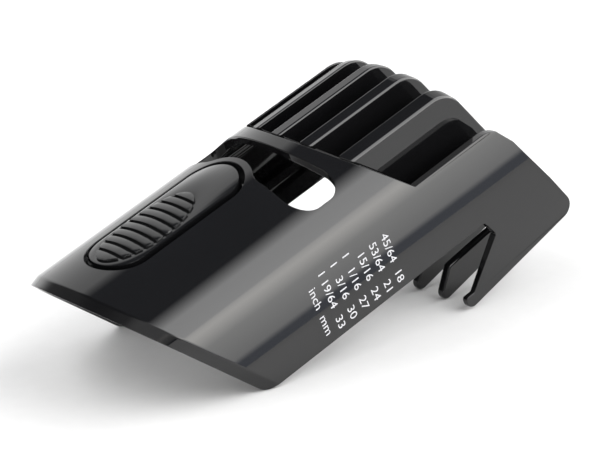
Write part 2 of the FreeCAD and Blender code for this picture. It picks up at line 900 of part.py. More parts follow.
def roof_cylinder(name, radius):
    """A long cylinder under the roof's arch."""
    cylinder = doc.addObject("Part::Cylinder", name)
    cylinder.setExpression("Radius", radius.text)
    cylinder.Height = 2 * REACH
    cylinder.Placement = FreeCAD.Placement(
        FreeCAD.Vector(-REACH, 0, 0), FreeCAD.Rotation(FreeCAD.Vector(0, 1, 0), 90))
    cylinder.setExpression("Placement.Base.z", "-Dims.crest_radius")
    return cylinder


def make_pad():
    """The ribbed thumb pad: an oval that follows the arch, crossed by bowed grooves."""
    rise = cell("pad_rise")
    oval = placed_ellipse("pad_oval", cell("pad_half_length"), cell("pad_half_width"),
                          -cell("pad_seat") - SPARE, HIGH)
    seat = roof_cylinder("pad_under", crest_radius - cell("pad_seat"))
    over = roof_cylinder("pad_over", crest_radius + rise)
    under_arch = doc.addObject("Part::Common", "pad_under_arch")
    under_arch.Base = oval
    under_arch.Tool = over
    blank = doc.addObject("Part::Cut", "pad_blank")
    blank.Base = under_arch
    blank.Tool = seat
    sketch = doc.addObject("Sketcher::SketchObject", "pad_groove_lines")
    bow = cell("groove_bow")
    half = cell("groove_width") / 2
    reach = cell("pad_half_width")
    for step in range(-(GROOVES // 2), GROOVES // 2 + 1):
        middle = step * cell("groove_pitch") - cell("pad_centre") - root(bow * bow - reach * reach)
        front = middle + root((bow + half) * (bow + half) - reach * reach)
        rear = middle + root((bow - half) * (bow - half) - reach * reach)
        draw_outline(sketch, [
            (rear, -reach),
            (front, -reach, bow + half, -1),
            (front, reach),
            (rear, reach, bow - half, 1),
        ])
    cutter = doc.addObject("Part::Extrusion", "pad_grooves")
    cutter.Base = sketch
    cutter.DirMode = "Custom"
    cutter.Dir = FreeCAD.Vector(0, 0, 1)
    cutter.Solid = True
    cutter.Symmetric = True
    cutter.LengthFwd = 2 * REACH
    follow = roof_cylinder("pad_groove_floor", crest_radius + rise - cell("groove_depth"))
    shallow = doc.addObject("Part::Cut", "pad_groove_cutter")
    shallow.Base = cutter
    shallow.Tool = follow
    ribs = doc.addObject("Part::Cut", "thumb_pad")
    ribs.Base = blank
    ribs.Tool = shallow
    ribs.Label = "thumb_pad"
    return ribs


def seat_button(button):
    """Take the thumb pad's recess and the spring's blind hole out of the button."""
    oval = placed_ellipse("seat_oval", cell("pad_half_length"), cell("pad_half_width"),
                          -cell("pad_seat") - SPARE, HIGH)
    under = roof_cylinder("seat_under", crest_radius - cell("pad_seat"))
    recess = doc.addObject("Part::Cut", "seat_recess")
    recess.Base = oval
    recess.Tool = under
    hole = doc.addObject("Part::Cylinder", "spring_hole")
    hole.setExpression("Radius", "Dims.spring_hole")
    hole.setExpression("Height", "Dims.well_floor")
    hole.setExpression("Placement.Base.x", "-Dims.spring_back")
    hole.setExpression("Placement.Base.z", "-Dims.spring_top - Dims.well_floor")
    tools = doc.addObject("Part::Compound", "button_tools")
    tools.Links = [recess, hole]
    seated = doc.addObject("Part::Cut", "lock_button")
    seated.Base = button
    seated.Tool = tools
    return seated


def make_spring():
    """The return spring, between the bridge and the end of the blind hole."""
    wire = cell("spring_wire")
    height = cell("well_floor") - cell("spring_top") - wire
    helix = doc.addObject("Part::Helix", "spring_helix")
    helix.setExpression("Radius", "Dims.spring_radius")
    helix.setExpression("Pitch", "Dims.spring_pitch")
    helix.setExpression("Height", height.text)
    section = doc.addObject("Part::Circle", "spring_section")
    section.setExpression("Radius", (wire / 2).text)
    section.Placement = FreeCAD.Placement(
        FreeCAD.Vector(0, 0, 0), FreeCAD.Rotation(FreeCAD.Vector(1, 0, 0), 90))
    for item in (helix, section):
        item.setExpression("Placement.Base.z", "-Dims.well_floor + Dims.spring_wire / 2")
    helix.setExpression("Placement.Base.x", "-Dims.spring_back")
    section.setExpression("Placement.Base.x", "Dims.spring_radius - Dims.spring_back")
    doc.recompute()
    coil = doc.addObject("Part::Sweep", "return_spring")
    coil.Sections = [section]
    coil.Spine = (helix, ["Edge%d" % (n + 1) for n in range(len(helix.Shape.Edges))])
    coil.Solid = True
    coil.Frenet = True
    coil.Label = "return_spring"
    return coil


# ---------------------------------------------------------------- assembly
def comb_nodes():
    """Every sub-part, in the sleeve's own frame."""
    made = [
        make_roof(),
        make_crossbar(),
        make_wall("right_side_wall", -1),
        make_wall("left_side_wall", 1),
        make_rail("right_guide_rail", -1),
        make_rail("left_guide_rail", 1),
        make_side_plate("comb_plate_1", -1),
        make_side_plate("comb_plate_7", 1),
    ]
    for number in range(2, 7):
        centre = (number - 4) * cell("plate_pitch")
        made.append(make_inner_plate("comb_plate_%d" % number, centre))
    made += [
        make_well_skirt(),
        make_lug("right_pivot_lug", -1),
        make_lug("left_pivot_lug", 1),
        make_pin(),
        make_bridge(),
        make_stop(),
        make_ear("right_button_ear", -1),
        make_ear("left_button_ear", 1),
        make_catch(),
        make_pad(),
        seat_button(make_button()),
        make_spring(),
    ]
    return made


def stand():
    """The placement that stands the comb on its rear corners and its inner plates' toes.

    Both are rounds, so the comb turns until the line that touches both from below is level.
    The origin is then in the middle of the box that holds the comb, at its foot.
    """
    foot = cell("foot_radius").value
    rear = math.radians(cell("rear_lean").value)
    foot_x = rear_line(-wall_height).value + foot * math.tan(math.pi / 4 - rear / 2)
    foot_z = foot - wall_height.value
    toe = cell("heel_round").value
    vertex_x, vertex_z = inner_toe()
    low = math.radians(cell("sole_lean").value)
    high = math.radians(cell("heel_lean").value)
    reach = toe / math.sin((high - low) / 2)
    toe_x = vertex_x.value + reach * math.cos((high + low) / 2)
    toe_z = vertex_z.value + reach * math.sin((high + low) / 2)
    apart = math.hypot(toe_x - foot_x, toe_z - foot_z)
    fall = math.atan2(foot_z - toe_z, toe_x - foot_x) - math.asin((foot - toe) / apart)
    print("nose up by %.3f degrees" % math.degrees(fall))
    nose_up = FreeCAD.Rotation(FreeCAD.Vector(0, -1, 0), math.degrees(fall))
    return FreeCAD.Placement(FreeCAD.Vector(), nose_up)


nodes = comb_nodes()
doc.recompute()
turned = stand()
for node in nodes:
    node.Placement = turned.multiply(node.Placement)
doc.recompute()
box = FreeCAD.BoundBox()
for node in nodes:
    box.add(node.Shape.optimalBoundingBox(False))
to_origin = FreeCAD.Vector(-box.Center.x, -box.Center.y, -box.ZMin)
shift = FreeCAD.Placement(to_origin, FreeCAD.Rotation())
for node in nodes:
    node.Placement = shift.multiply(node.Placement)
doc.recompute()
print("moved by", to_origin, "size", box.XLength, box.YLength, box.ZLength)

for thing in doc.Objects:
    if "Invalid" in thing.State or "Error" in thing.State:
        raise RuntimeError("%s failed: %s" % (thing.Name, thing.getStatusString()))
for node in nodes:
    if node.Shape.isNull() or not node.Shape.isValid() or len(node.Shape.Solids) != 1:
        raise RuntimeError("%s has no valid solid" % node.Label)
    print(node.Label, round(node.Shape.Volume, 1), "mm3")

os.makedirs("parts", exist_ok=True)
for node in nodes:
    node.Shape.exportStep("parts/%s.step" % node.Label)
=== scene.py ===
"""The adjustable guide comb as it lies on a pale table, in soft studio light."""
import json
import math

import bmesh
import bpy
from mathutils import Matrix, Vector


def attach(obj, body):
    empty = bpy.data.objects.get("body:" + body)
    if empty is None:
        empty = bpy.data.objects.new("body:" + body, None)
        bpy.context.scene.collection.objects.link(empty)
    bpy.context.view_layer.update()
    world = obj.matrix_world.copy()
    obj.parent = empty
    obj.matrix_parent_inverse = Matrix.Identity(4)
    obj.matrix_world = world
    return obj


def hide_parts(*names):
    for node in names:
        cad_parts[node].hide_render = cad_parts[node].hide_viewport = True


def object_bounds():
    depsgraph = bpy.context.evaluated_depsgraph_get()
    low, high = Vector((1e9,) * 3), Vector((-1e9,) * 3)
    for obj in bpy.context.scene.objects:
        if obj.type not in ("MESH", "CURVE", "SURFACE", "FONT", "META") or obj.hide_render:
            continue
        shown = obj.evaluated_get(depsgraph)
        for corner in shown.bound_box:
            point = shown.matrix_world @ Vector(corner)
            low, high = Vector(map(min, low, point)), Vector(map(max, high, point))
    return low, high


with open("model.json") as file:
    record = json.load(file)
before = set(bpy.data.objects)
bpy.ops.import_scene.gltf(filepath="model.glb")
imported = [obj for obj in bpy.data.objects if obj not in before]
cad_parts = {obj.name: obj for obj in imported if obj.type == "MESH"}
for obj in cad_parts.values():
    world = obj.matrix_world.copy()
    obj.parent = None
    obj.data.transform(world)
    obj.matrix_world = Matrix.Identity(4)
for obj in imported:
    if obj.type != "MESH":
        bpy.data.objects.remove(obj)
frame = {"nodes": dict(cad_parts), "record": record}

cad_low, cad_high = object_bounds()
nodes = frame["nodes"]
scene = bpy.context.scene
scene.view_settings.view_transform = "Standard"
MM = 0.001


# ---------------------------------------------------------------- materials
PLASTIC = (0.0035, 0.0035, 0.0038)
PLASTIC_LIFT = 1.6      # how much lighter the plastic's pale clouds are
CLOUD_SCALE = 60.0
MARK_SCALE = 900.0      # fine handling marks, seen in the gloss only
FLOW_SCALE = 45.0       # slow waves where the melt ran
FLOW_STRENGTH = 0.02
SMOOTHEST = 0.7         # shares of the plastic's roughness
ROUGHEST = 1.5
STEEL = ((0.42, 0.42, 0.43), (0.66, 0.66, 0.67))
STEEL_GRAIN = 1500.0
FLOOR = ((0.62, 0.62, 0.62), (0.65, 0.65, 0.65))
FLOOR_GRAIN = 300.0
INK = ((0.42, 0.42, 0.44), (0.62, 0.62, 0.64))
INK_GRAIN = 1200.0


def add_node(owner, kind, **settings):
    """A new shader node in a material or in the world."""
    node = owner.node_tree.nodes.new(kind)
    for name, value in settings.items():
        setattr(node, name, value)
    return node


def wire(owner, source, out, target, into):
    owner.node_tree.links.new(source.outputs[out], target.inputs[into])


def new_material(name, roughness):
    material = bpy.data.materials.new(name)
    material.use_nodes = True
    shader = material.node_tree.nodes["Principled BSDF"]
    shader.inputs["Roughness"].default_value = roughness
    return material, shader


def add_noise(material, scale, detail=2.0):
    """Noise that is fixed to the object."""
    place = add_node(material, "ShaderNodeTexCoord")
    noise = add_node(material, "ShaderNodeTexNoise")
    noise.inputs["Scale"].default_value = scale
    noise.inputs["Detail"].default_value = detail
    wire(material, place, "Object", noise, "Vector")
    return noise


def mottle(material, shader, dark, light, scale):
    """Let the base colour drift between two shades."""
    shade = add_node(material, "ShaderNodeMix", data_type="RGBA")
    shade.inputs["A"].default_value = (*dark, 1)
    shade.inputs["B"].default_value = (*light, 1)
    wire(material, add_noise(material, scale), "Fac", shade, "Factor")
    wire(material, shade, "Result", shader, "Base Color")


def gloss_black(name, roughness):
    """Polished black plastic: faint flow waves under the gloss, and fine handling marks."""
    material, shader = new_material(name, roughness)
    mottle(material, shader, PLASTIC, [channel * PLASTIC_LIFT for channel in PLASTIC], CLOUD_SCALE)
    spread = add_node(material, "ShaderNodeMapRange")
    spread.inputs["To Min"].default_value = roughness * SMOOTHEST
    spread.inputs["To Max"].default_value = roughness * ROUGHEST
    wire(material, add_noise(material, MARK_SCALE, detail=4.0), "Fac", spread, "Value")
    wire(material, spread, "Result", shader, "Roughness")
    bump = add_node(material, "ShaderNodeBump")
    bump.inputs["Strength"].default_value = FLOW_STRENGTH
    bump.inputs["Distance"].default_value = MM
    wire(material, add_noise(material, FLOW_SCALE, detail=0.0), "Fac", bump, "Height")
    wire(material, bump, "Normal", shader, "Normal")
    return material


def drawn_steel():
    material, shader = new_material("drawn_steel", 0.3)
    shader.inputs["Metallic"].default_value = 1.0
    mottle(material, shader, *STEEL, STEEL_GRAIN)
    return material


def pale_floor():
    material, shader = new_material("pale_floor", 0.6)
    mottle(material, shader, *FLOOR, FLOOR_GRAIN)
    return material


def white_ink():
    """Printed white ink, a little uneven in its cover."""
    material, shader = new_material("scale_ink", 0.35)
    mottle(material, shader, *INK, INK_GRAIN)
    return material


shell_plastic = gloss_black("shell_plastic", roughness=0.035)
scale_ink = white_ink()
button_plastic = gloss_black("button_plastic_look", roughness=0.05)
steel = drawn_steel()


def paint(names, material):
    for name in names:
        mesh = nodes[name].data
        mesh.materials.clear()
        mesh.materials.append(material)


button_nodes = ["lock_button", "thumb_pad", "right_button_ear", "left_button_ear", "catch_hook"]
steel_nodes = ["pivot_pin", "return_spring"]
paint([name for name in nodes if name not in button_nodes + steel_nodes], shell_plastic)
paint(button_nodes, button_plastic)
paint(steel_nodes, steel)


# ---------------------------------------------------------------- the sleeve's own frame, in millimetres
# X runs forward along the sleeve, Y to its left and Z up, with zero on the roof's crest.
mounts = {mount["name"]: mount for mount in frame["record"]["mounts"]}
joint = frame["record"]["behaviour"]["joints"][0]
FORWARD = -Vector(mounts["clipper_slide"]["axis"])
UPWARD = -Vector(mounts["catch_face"]["axis"])
PIVOT = Vector((-51.0, 0.0, -5.0))     # the button's pin

tilt = Matrix((FORWARD, Vector((0, 1, 0)), UPWARD)).transposed()
origin = Vector(joint["pos_m"]) - tilt @ PIVOT * MM
SLEEVE = Matrix.Translation(origin) @ tilt.to_4x4() @ Matrix.Scale(MM, 4)

# Section: a shallow arch, a tight corner and a wall that leans out a little.
CREST_RADIUS = 27.0
CORNER_RADIUS = 9.4
CORNER_TURN = math.radians(44.3)
WALL_LEAN = math.radians(5.5)
WALL_HEIGHT = 30.6
WALL_THICK = 1.8
TOE_Y = 22.75
TOE_THICK = 1.25
ARCH_STEPS = 20
CORNER_STEPS = 16
WALL_STEPS = 13
WALL_END = WALL_HEIGHT + 1.0            # the wall's rows run on past its lower edge
TOE_SHARES = (0.33, 0.67, 1.0)

# Side view: each sloping edge has its place at the crest and its slope.
REAR_CREST = 81.3
REAR_SLOPE = math.tan(math.radians(36.1))
RIM_CREST = 25.1
RIM_SLOPE = math.tan(math.radians(41.7))
FACE_CREST = 3.8
FACE_SLOPE = math.tan(math.radians(25.2))
SOLE_DEPTH = 44.7
SOLE_SLOPE = math.tan(math.radians(7.7))
SIDE_TOP = 14.4
NOTCH_ROUND = 0.4
FRONT_ROUND = 7.0
CHIN_ROUND = 2.6
TOE_REAR = -9.35                        # the side plate's toe, behind its cleft
TOE_ROUND = 1.9
LIP_Z = -42.8
LIP_FRONT = -7.0
LIP_ROUND = 0.7
CLEFT = (1.9, -34.3)
CLEFT_ROUND = 0.5
TAIL_ROUND = 3.5

# The bevelled band along the rear edge.
BAND_LENGTH = 2.8
BAND_SLOPE = 0.28
CREASE = 0.35                           # half length of the round between the band and the roof
BAND_ROWS = 6                           # steps across that round
BEHIND = -2.0                           # the blank's first and last rows, clear of every trim
AHEAD = 80.0

# Openings in the roof.
WINDOW_HALF = 18.2
WINDOW_REAR = -36.6
WINDOW_FRONT = -28.0
WINDOW_CORNER = 4.6
WINDOW_NOSE = 3.4                       # the round where the front edge meets the side
WINDOW_BOW = 46.5                       # radius of the front edge
TONGUE_RADIUS = 9.0
TONGUE_BLEND = 3.5
WELL_FRONT = -42.7
WELL_REAR = -64.4
WELL_RADIUS = 7.4

# Inner plates.
MIDDLE_PLATE = 4
PLATE_PITCH = 7.3
PLATE_ROOT = 2.5
PLATE_TIP = 1.7
SOLE_STEP = 0.35                        # they reach that far below the side plates
FINGER_SLOPE = math.tan(math.radians(3.8))
FINGER_DEPTH = 39.2
HEEL_SLOPE = math.tan(math.radians(51.8))
HEEL_X = -5.6
HEEL_ROUND = 0.8
INNER_TOE_ROUND = 1.5
PLATE_EDGE = 0.5
PLATE_EDGE_STEPS = 4

# Limits that are clear of the whole comb.
DEEP = -46.5
HIGH = 4.0
WIDE = 40.0
CUT_LOW = -20.0
CUT_HIGH = 10.0


def rear_x(z):
    return -REAR_CREST - z * REAR_SLOPE


def rim_x(z):
    return -RIM_CREST - z * RIM_SLOPE


def face_x(z):
    return FACE_CREST - z * FACE_SLOPE


def sole_z(x):
    return x * SOLE_SLOPE - SOLE_DEPTH


def arch_z(y):
    return math.sqrt(CREST_RADIUS ** 2 - y ** 2) - CREST_RADIUS


def rounded(corners, steps=10):
    """A closed outline whose corners (x, z, radius) are rounded with arcs."""
    points = []
    for before, corner, after in zip(corners[-1:] + corners[:-1], corners, corners[1:] + corners[:1]):
        here = Vector(corner[:2])
        if len(corner) == 2:
            points.append(here)
            continue
        back = (Vector(before[:2]) - here).normalized()
        ahead = (Vector(after[:2]) - here).normalized()
        half = math.acos(max(-1.0, min(1.0, back.dot(ahead)))) / 2
        reach = corner[2] / math.tan(half)
        centre = here + (back + ahead).normalized() * corner[2] / math.sin(half)
        begin = here + back * reach - centre
        swing = (here + ahead * reach - centre).angle_signed(begin)
        for step in range(steps + 1):
            angle = swing * step / steps
            cosine, sine = math.cos(angle), math.sin(angle)
            points.append(centre + Vector((
                begin.x * cosine - begin.y * sine,
                begin.x * sine + begin.y * cosine,
            )))
    return points


def arc(centre, radius, start, end, steps):
    """Points along an arc, with its angles in degrees."""
    points = []
    for step in range(steps + 1):
        angle = math.radians(start + (end - start) * step / steps)
        points.append(Vector((centre[0] + radius * math.cos(angle), centre[1] + radius * math.sin(angle))))
    return points


# ---------------------------------------------------------------- solids
EDGE_ROUND = 0.3
EDGE_STEPS = 3
EDGE_ANGLE = math.radians(26)


def add_object(name, data):
    thing = bpy.data.objects.new(name, data)
    scene.collection.objects.link(thing)
    return thing


def evaluated_mesh(thing):
    """A new mesh with the object's modifiers, or its lettering, worked out."""
    depsgraph = bpy.context.evaluated_depsgraph_get()
    return bpy.data.meshes.new_from_object(thing.evaluated_get(depsgraph))


def round_edges(thing, width, steps, angle):
    """Round the edges that are sharper than an angle."""
    soften = thing.modifiers.new("soften", "BEVEL")
    soften.width = width
    soften.segments = steps
    soften.limit_method = "ANGLE"
    soften.angle_limit = angle
    soften.harden_normals = True
    return soften


def prism(name, points, low, high, axis):
    """A closed solid from an outline in X and Z that runs along Y, or in X and Y along Z."""
    count = len(points)
    verts = []
    for level in (low, high):
        for point in points:
            verts.append((point[0], level, point[1]) if axis == "Y" else (point[0], point[1], level))
    return closed(name, verts, count, 2)


def closed(name, verts, count, rings):
    """Join rings of points with quads and close both ends."""
    faces = [tuple(range(count)), tuple(range((rings - 1) * count, rings * count))]
    for ring in range(rings - 1):
        for index in range(count):
            after = (index + 1) % count
            base = ring * count
            faces.append((base + index, base + after, base + count + after, base + count + index))
    mesh = bpy.data.meshes.new(name)
    mesh.from_pydata(verts, [], faces)
    shape = bmesh.new()
    shape.from_mesh(mesh)
    bmesh.ops.recalc_face_normals(shape, faces=shape.faces)
    shape.to_mesh(mesh)
    shape.free()
    return mesh


def carve(name, blank, keep=(), cut=(), width=EDGE_ROUND, steps=EDGE_STEPS):
    """Trim a solid with others, then round its edges; the result is a mesh in millimetres."""
    piece = add_object(name, blank)
    tools = []
    for operation, meshes in (("INTERSECT", keep), ("DIFFERENCE", cut)):
        for mesh in meshes:
            tool = add_object(mesh.name, mesh)
            tools.append(tool)
            trim = piece.modifiers.new("trim", "BOOLEAN")
            trim.operation = operation
            trim.solver = "EXACT"
            trim.object = tool
    round_edges(piece, width, steps, EDGE_ANGLE).use_clamp_overlap = False
    result = evaluated_mesh(piece)
    for thing in tools + [piece]:
        mesh = thing.data
        bpy.data.objects.remove(thing)
        bpy.data.meshes.remove(mesh)
    return result


def finish_piece(name, mesh, material, stands_for=()):
    """Move a mesh from the sleeve's frame to the world and let it ride on the comb."""
    mesh.name = name
    mesh.transform(SLEEVE)
    mesh.materials.clear()
    mesh.materials.append(material)
    piece = add_object(name, mesh)
    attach(piece, "comb")
    if stands_for:
        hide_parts(*stands_for)


# ---------------------------------------------------------------- shell
CROWN_LEAN = 66.0       # the flank's normal, in degrees from upright, at CROWN_Z
CROWN_Z = -12.0
CROWN_RATE = 0.85       # degrees more for each millimetre further down
CORNER_SHARE = 0.9      # the corner turns a little less than its shape does
STEEPEST = math.radians(89.5)
ON_FACE = 0.05          # a point this near the outer face takes its normal, whatever its own
NEAR_FACE = 0.5         # and one this near only where its own normal is almost the same
FACING = 0.55
ALIGNED = 0.98
CORNER_CENTRE = (
    (CREST_RADIUS - CORNER_RADIUS) * math.sin(CORNER_TURN),
    (CREST_RADIUS - CORNER_RADIUS) * math.cos(CORNER_TURN) - CREST_RADIUS,
)


def section(inset):
    """Half of the sleeve's section, from the crest down to the toe of a side plate."""
    points = []
    for step in range(ARCH_STEPS + 1):
        angle = CORNER_TURN * step / ARCH_STEPS
        radius = CREST_RADIUS - inset
        points.append((radius * math.sin(angle), radius * math.cos(angle) - CREST_RADIUS))
    for step in range(1, CORNER_STEPS + 1):
        angle = CORNER_TURN + (math.pi / 2 - WALL_LEAN - CORNER_TURN) * step / CORNER_STEPS
        radius = CORNER_RADIUS - inset
        points.append((
            CORNER_CENTRE[0] + radius * math.sin(angle),
            CORNER_CENTRE[1] + radius * math.cos(angle),
        ))
    top_y, top_z = points[-1]
    low_y = top_y + (top_z + WALL_END) * math.tan(WALL_LEAN)
    for step in range(1, WALL_STEPS + 1):
        share = step / WALL_STEPS
        points.append((top_y + (low_y - top_y) * share, top_z + (-WALL_END - top_z) * share))
    toe_y = TOE_Y - inset * TOE_THICK / WALL_THICK
    for share in TOE_SHARES:
        points.append((low_y + (toe_y - low_y) * share, -WALL_END + (DEEP + WALL_END) * share))
    return points


WALL_TOP = section(0)[ARCH_STEPS + CORNER_STEPS]
WALL_FOOT = section(0)[ARCH_STEPS + CORNER_STEPS + WALL_STEPS]


def outward(y, z):
    """The lean of the outer face's normal at a point of the section, and the distance off the face.

    The mesh of the flank is flat. Its normals describe a slight crown: the lean grows steadily
    from the corner to the lower edge.
    """
    side = -1.0 if y < 0 else 1.0
    y = abs(y)
    angle = math.atan2(y, z + CREST_RADIUS)
    if angle <= CORNER_TURN:
        return side * angle, math.hypot(y, z + CREST_RADIUS) - CREST_RADIUS
    angle = math.atan2(y - CORNER_CENTRE[0], z - CORNER_CENTRE[1])
    crown = math.radians(CROWN_LEAN + CROWN_RATE * (CROWN_Z - z))
    if angle <= math.pi / 2 - WALL_LEAN and z > CORNER_CENTRE[1]:
        off = math.hypot(y - CORNER_CENTRE[0], z - CORNER_CENTRE[1]) - CORNER_RADIUS
        return side * min(CORNER_TURN + (angle - CORNER_TURN) * CORNER_SHARE, crown), off
    first, last = (WALL_TOP, WALL_FOOT) if z > -WALL_END else (WALL_FOOT, (TOE_Y, DEEP))
    face_y = first[0] + (last[0] - first[0]) * (first[1] - z) / (first[1] - last[1])
    return side * min(crown, STEEPEST), y - face_y


def band_slope(ahead):
    """Slope of the outer face at a distance ahead of the rear edge."""
    share = (BAND_LENGTH + CREASE - ahead) / (2 * CREASE)
    return BAND_SLOPE * max(0.0, min(1.0, share))


def band_depth(ahead):
    """How far the outer face has dropped there."""
    if ahead < BAND_LENGTH - CREASE:
        return BAND_SLOPE * (BAND_LENGTH - ahead)
    left = max(0.0, BAND_LENGTH + CREASE - ahead)
    return BAND_SLOPE * left ** 2 / (4 * CREASE)


def band_blank():
    """The sleeve's wall before it is trimmed, with the slope of the rear band."""
    outer = section(0)
    inner = section(WALL_THICK)
    outer = [(-y, z) for y, z in outer[:0:-1]] + outer
    inner = [(-y, z) for y, z in inner[:0:-1]] + inner
    crease = [BAND_LENGTH + CREASE * (step / (BAND_ROWS / 2) - 1) for step in range(BAND_ROWS + 1)]
    stations = [BEHIND, *crease, AHEAD]
    verts = []
    for ahead in stations:
        for y, z in outer:
            lean = outward(y, z)[0]
            depth = band_depth(ahead)
            verts.append((rear_x(z) + ahead, y - depth * math.sin(lean), z - depth * math.cos(lean)))
        for y, z in reversed(inner):
            verts.append((rear_x(z) + ahead, y, z))
    return closed("sleeve_blank", verts, len(outer) + len(inner), len(stations))


def side_outline():
    """The comb's side view, with the two side plates but without the inner ones."""
    level = -SOLE_DEPTH
    chin_x = (FACE_CREST - level * FACE_SLOPE) / (SOLE_SLOPE * FACE_SLOPE + 1)
    return rounded([
        (rear_x(HIGH), HIGH),
        (rim_x(HIGH), HIGH),
        (rim_x(-SIDE_TOP), -SIDE_TOP, NOTCH_ROUND),
        (face_x(-SIDE_TOP), -SIDE_TOP, FRONT_ROUND),
        (chin_x, sole_z(chin_x), CHIN_ROUND),
        (TOE_REAR, sole_z(TOE_REAR), TOE_ROUND),
        (TOE_REAR, LIP_Z, LIP_ROUND),
        (LIP_FRONT, LIP_Z, CLEFT_ROUND),
        (*CLEFT, CLEFT_ROUND),
        (0.0, -WALL_HEIGHT, CLEFT_ROUND),
        (rear_x(-WALL_HEIGHT), -WALL_HEIGHT, TAIL_ROUND),
    ])


def window_outline():
    """The window in plan, with the round tongue in the middle of its rear edge."""
    arm = TONGUE_RADIUS + TONGUE_BLEND
    along = WINDOW_REAR + TONGUE_BLEND - WELL_FRONT
    across = math.sqrt(arm ** 2 - along ** 2)
    meet = math.degrees(math.atan2(across, along))
    blend_x = WINDOW_REAR + TONGUE_BLEND
    corner_x = WINDOW_REAR + WINDOW_CORNER
    corner_y = WINDOW_HALF - WINDOW_CORNER
    bow_centre = WINDOW_FRONT + WINDOW_BOW
    nose_y = WINDOW_HALF - WINDOW_NOSE
    nose_x = bow_centre - math.sqrt((WINDOW_BOW + WINDOW_NOSE) ** 2 - nose_y ** 2)
    sweep = math.degrees(math.atan2(nose_y, bow_centre - nose_x))
    tongue_steps, blend_steps, corner_steps, bow_steps = 28, 8, 12, 40
    points = arc((WELL_FRONT, 0), TONGUE_RADIUS, -meet, meet, tongue_steps)
    points += arc((blend_x, across), TONGUE_BLEND, meet - 180, -180, blend_steps)[1:]
    points += arc((corner_x, corner_y), WINDOW_CORNER, 180, 90, corner_steps)
    points += arc((nose_x, nose_y), WINDOW_NOSE, 90, -sweep, corner_steps)
    points += arc((bow_centre, 0), WINDOW_BOW, 180 - sweep, 180 + sweep, bow_steps)[1:-1]
    points += arc((nose_x, -nose_y), WINDOW_NOSE, sweep, -90, corner_steps)
    points += arc((corner_x, -corner_y), WINDOW_CORNER, -90, -180, corner_steps)
    points += arc((blend_x, -across), TONGUE_BLEND, 180, 180 - meet, blend_steps)[:-1]
    return points


def well_outline():
    """The opening round the button: two half circles with straight sides between them."""
    front = arc((WELL_FRONT, 0), WELL_RADIUS, -90, 90, 32)
    return front + arc((WELL_REAR, 0), WELL_RADIUS, 90, 270, 32)


def shade_outside(mesh):
    """Give the outer face its exact normals, so that its reflections run without facets."""
    normals = [corner.vector.copy() for corner in mesh.corner_normals]
    for face in mesh.polygons:
        for loop in face.loop_indices:
            point = mesh.vertices[mesh.loops[loop].vertex_index].co
            lean, off = outward(point.y, point.z)
            ahead = point.x - rear_x(point.z)
            slope = band_slope(ahead)
            way = Vector((-slope, math.sin(lean), math.cos(lean) - slope * REAR_SLOPE)).normalized()
            distance = abs(off + band_depth(ahead))
            facing = face.normal.dot(way)
            on_face = distance < ON_FACE and facing > FACING
            beside_face = distance < NEAR_FACE and facing > ALIGNED
            if on_face or beside_face:
                normals[loop] = way
    mesh.normals_split_custom_set(normals)


def make_shell():
    mesh = carve("comb_shell", band_blank(),
                 keep=[prism("side_view", side_outline(), -WIDE, WIDE, "Y")],
                 cut=[prism("window", window_outline(), CUT_LOW, CUT_HIGH, "Z"),
                      prism("well", well_outline(), CUT_LOW, CUT_HIGH, "Z")])
    shade_outside(mesh)
    finish_piece("comb_shell", mesh, shell_plastic, [
        "sleeve_roof", "crossbar", "right_side_wall", "left_side_wall", "comb_plate_1", "comb_plate_7"])


# ---------------------------------------------------------------- inner plates
def plate_outline(top):
    """Side view of an inner plate, with its finger to the rear."""
    level = -SOLE_DEPTH - SOLE_STEP
    chin_x = (FACE_CREST - level * FACE_SLOPE) / (SOLE_SLOPE * FACE_SLOPE + 1)
    heel_z = HEEL_X * FINGER_SLOPE - FINGER_DEPTH
    toe_x = (level - heel_z + HEEL_X * HEEL_SLOPE) / (HEEL_SLOPE - SOLE_SLOPE)
    fork_x = (FINGER_DEPTH * RIM_SLOPE - RIM_CREST) / (FINGER_SLOPE * RIM_SLOPE + 1)
    return rounded([
        (rim_x(top), top),
        (face_x(top), top, FRONT_ROUND),
        (chin_x, chin_x * SOLE_SLOPE + level, CHIN_ROUND),
        (toe_x, toe_x * SOLE_SLOPE + level, INNER_TOE_ROUND),
        (HEEL_X, heel_z, HEEL_ROUND),
        (fork_x, fork_x * FINGER_SLOPE - FINGER_DEPTH),
    ])


def make_inner_plate(number):
    """An inner plate, thicker at the crest than at its toe.

    Its top runs straight across, from the arch's height on one side to its height on the other.
    """
    name = "comb_plate_%d" % number
    centre = (number - MIDDLE_PLATE) * PLATE_PITCH
    verts = []
    for side in (-1, 1):
        outline = plate_outline(arch_z(centre + side * PLATE_ROOT / 2))
        for x, z in outline:
            half = (PLATE_ROOT + (PLATE_TIP - PLATE_ROOT) * z / DEEP) / 2
            verts.append((x, centre + side * half, z))
    blank = closed(name + "_blank", verts, len(outline), 2)
    mesh = carve(name + "_edges", blank, width=PLATE_EDGE, steps=PLATE_EDGE_STEPS)
    finish_piece(name + "_moulded", mesh, shell_plastic, [name])


# ---------------------------------------------------------------- printed scale
ROW_PITCH = 3.2
FIRST_ROW = -22.9
LETTER_SIZE = 2.5
TEXT_STRETCH = 1.12
INK_HEIGHT = 0.02
METRIC_END = -29.1      # heights that the columns start from or run up to
INCH_END = -24.6
WHOLE_START = -16.9
UNIT_INCH_START = -18.4
UNIT_MM_START = -24.5
SCALE = [
    ("18", "", "45/64"),
    ("21", "", "53/64"),
    ("24", "", "15/16"),
    ("27", "1", "1/16"),
    ("30", "1", "3/16"),
    ("33", "1", "19/64"),
]


